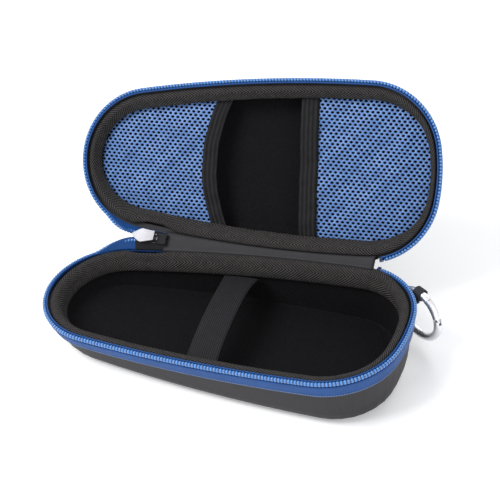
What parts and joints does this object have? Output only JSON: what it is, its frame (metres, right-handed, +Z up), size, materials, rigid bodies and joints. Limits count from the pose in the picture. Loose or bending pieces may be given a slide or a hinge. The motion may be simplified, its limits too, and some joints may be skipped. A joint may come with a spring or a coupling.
{
  "type": "electric shaver hard case",
  "caption": "Zipped hard travel case for an electric shaver, lid open, with lined tray, holding strap, net pockets in the lid and a snap ring.",
  "frame": {"origin": "on the flat underside of the base, straight under the middle of the rim", "axes": "+X along the lid hinge towards the tall head end, +Y towards the hinge side, +Z up"},
  "size_m": [0.1957, 0.1528, 0.1032],
  "materials": {
    "shell": "matte coated foam",
    "lining": "fine knit",
    "binding": "herringbone knit",
    "zip_tape": "woven, slight sheen",
    "zip_coil": "satin",
    "hinge_cloth": "smooth woven",
    "strap": "ribbed elastic",
    "pocket_net": "shiny mesh",
    "elastic_band": "ribbed elastic",
    "slider_metal": "satin silver",
    "webbing": "woven",
    "ring_metal": "satin die-cast"
  },
  "bodies": {
    "base": {"base_shell": "shell", "base_lining": "lining", "base_binding": "binding", "base_zip_tape": "zip_tape", "base_zip_coil": "zip_coil", "base_hinge_outer": "hinge_cloth", "base_hinge_inner": "hinge_cloth", "base_zip_stop": "zip_coil", "strap": "strap", "strap_anchor_rear": "strap", "strap_anchor_front": "strap", "ring_loop": "webbing"},
    "lid": {"lid_shell": "shell", "lid_lining": "lining", "lid_binding": "binding", "lid_zip_tape": "zip_tape", "lid_zip_coil": "zip_coil", "lid_hinge_outer": "hinge_cloth", "lid_hinge_inner": "hinge_cloth", "lid_zip_stop": "zip_coil", "pocket_net_left": "pocket_net", "pocket_net_right": "pocket_net", "pocket_band_left": "elastic_band", "pocket_band_right": "elastic_band"},
    "zip_tail": {"zip_tail": "zip_tape"},
    "slider": {"slider_body": "slider_metal"},
    "pull": {"pull_tab": "slider_metal"},
    "snap_ring": {"ring_body": "ring_metal", "gate_pin": "ring_metal"},
    "gate": {"ring_gate": "ring_metal"}
  },
  "joints": [
    {"name": "lid_hinge", "type": "hinge", "parent": "base", "child": "lid", "pos_m": [0, 0.04188, 0.02841], "axis": [-0.9968, 0, -0.0797], "range_deg": [-126, 50]},
    {"name": "tail_hinge", "type": "hinge", "parent": "base", "child": "zip_tail", "pos_m": [0, 0.04188, 0.02841], "axis": [-0.9968, 0, -0.0797], "range_deg": [-63, 25]},
    {"name": "slider_travel", "type": "hinge", "parent": "zip_tail", "child": "slider", "pos_m": [-0.05912, 0.02376, 0.05935], "axis": [-0.0362, 0.891, 0.4525], "range_deg": [0, 163]},
    {"name": "pull_tab_swing", "type": "hinge", "parent": "slider", "child": "pull", "pos_m": [-0.05457, 0.04102, 0.02574], "axis": [-0.0362, 0.891, 0.4525], "range_deg": [-84, 68]},
    {"name": "ring_swing", "type": "hinge", "parent": "base", "child": "snap_ring", "pos_m": [0.08844, 0.02931, 0.03087], "axis": [0.8387, -0.5446, 0], "range_deg": [0, 85]},
    {"name": "gate_hinge", "type": "hinge", "parent": "snap_ring", "child": "gate", "pos_m": [0.09882, 0.02257, 0.02067], "axis": [-0.5446, -0.8387, 0], "range_deg": [0, 22], "stiffness_Nm_per_rad": 0.02, "springref_deg": -11.46}
  ],
  "couplings": [
    {"joint": "tail_hinge", "follows": "lid_hinge", "ratio": 0.5}
  ]
}
